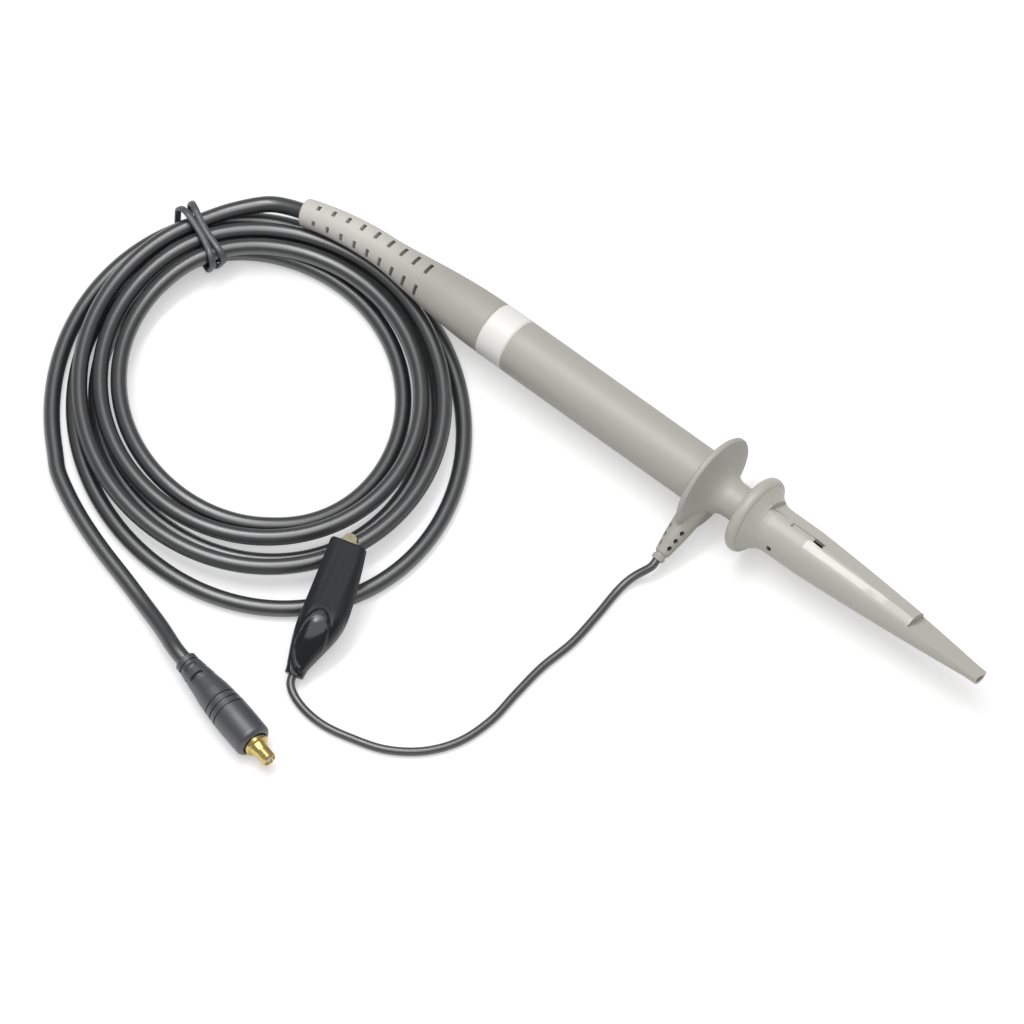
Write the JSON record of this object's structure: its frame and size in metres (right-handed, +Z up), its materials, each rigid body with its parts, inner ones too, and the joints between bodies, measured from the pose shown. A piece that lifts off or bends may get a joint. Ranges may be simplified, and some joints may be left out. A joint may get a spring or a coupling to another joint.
{
  "type": "oscilloscope probe",
  "caption": "Passive oscilloscope probe with a sprung hook tip in a sleeve, finger guard, ground lead with crocodile clip, coiled coaxial cable and push-on plug.",
  "frame": {"origin": "on the table, under the middle of the rigid probe's length and width", "axes": "+X along the probe's axis towards the hook tip, +Z up from the table, +Y to the side away from the coil"},
  "size_m": [0.2259, 0.1319, 0.0248],
  "materials": {
    "boot_grey": "matt",
    "white": "matt",
    "shell_grey": "satin",
    "sleeve_grey": "gloss",
    "brass": "drawn",
    "nickel": "nickel plated",
    "board": "solder mask",
    "resistor": "lacquer",
    "copper": "tinned copper",
    "ceramic": "glazed",
    "dark_plastic": "satin",
    "gold": "gold plated",
    "lead_boot": "satin",
    "cable": "satin jacket",
    "cover_black": "gloss soft vinyl",
    "steel": "drawn wire",
    "tie": "matt",
    "plug_black": "satin overmould",
    "ptfe": "matt"
  },
  "bodies": {
    "probe": {"rear_boot": "boot_grey", "colour_ring": "white", "barrel": "shell_grey", "shield_tube": "brass", "cable_ferrule": "nickel", "circuit_board": "board", "input_resistor": "resistor", "signal_wire": "copper", "trimmer_body": "ceramic", "ground_sleeve": "nickel", "nose_insulator": "dark_plastic", "tip_needle": "gold", "cable_ends": "cable", "cable_lead_in": "cable", "cable_coil": "cable", "cable_lead_out": "cable", "cable_tie": "tie", "plug_cover": "plug_black", "plug_ferrule": "nickel", "plug_shell": "gold", "plug_insulator": "ptfe", "plug_pin": "gold"},
    "trimmer": {"trimmer_rotor": "brass"},
    "ground_collar": {"finger_guard": "shell_grey", "contact_ring": "nickel", "lead_terminal": "nickel", "lead_boot": "lead_boot", "ground_lead": "cable", "clip_cover": "cover_black", "clip_lower_jaw": "nickel", "clip_rivet": "nickel", "clip_spring": "steel"},
    "clip_jaw": {"clip_upper_jaw": "nickel"},
    "hook_unit": {"hook_core": "dark_plastic", "hook_socket": "nickel", "hook_wire": "steel", "hook_spring": "steel"},
    "sleeve": {"hook_sleeve": "sleeve_grey"}
  },
  "joints": [
    {"name": "trimmer_turn", "type": "hinge", "parent": "probe", "child": "trimmer", "pos_m": [-0.0194, 0, 0.0124], "axis": [0, 0, 1], "continuous": true},
    {"name": "guard_turn", "type": "hinge", "parent": "probe", "child": "ground_collar", "pos_m": [0.0195, 0, 0.0124], "axis": [-1, 0, 0], "range_deg": [0, 180]},
    {"name": "jaw_open", "type": "hinge", "parent": "ground_collar", "child": "clip_jaw", "pos_m": [-0.02759, -0.08101, 0.00863], "axis": [0.9636, 0.2672, 0], "range_deg": [0, 25], "stiffness_Nm_per_rad": 0.25, "springref_deg": -17.19, "deforming": ["clip_cover", "clip_spring"]},
    {"name": "hook_pull", "type": "slide", "parent": "probe", "child": "hook_unit", "axis": [1, 0, 0], "range_m": [0, 0.025]},
    {"name": "sleeve_slide", "type": "slide", "parent": "hook_unit", "child": "sleeve", "axis": [-1, 0, 0], "range_m": [0, 0.0045], "stiffness_N_per_m": 200, "springref_m": -0.005, "deforming": ["hook_spring"]}
  ]
}
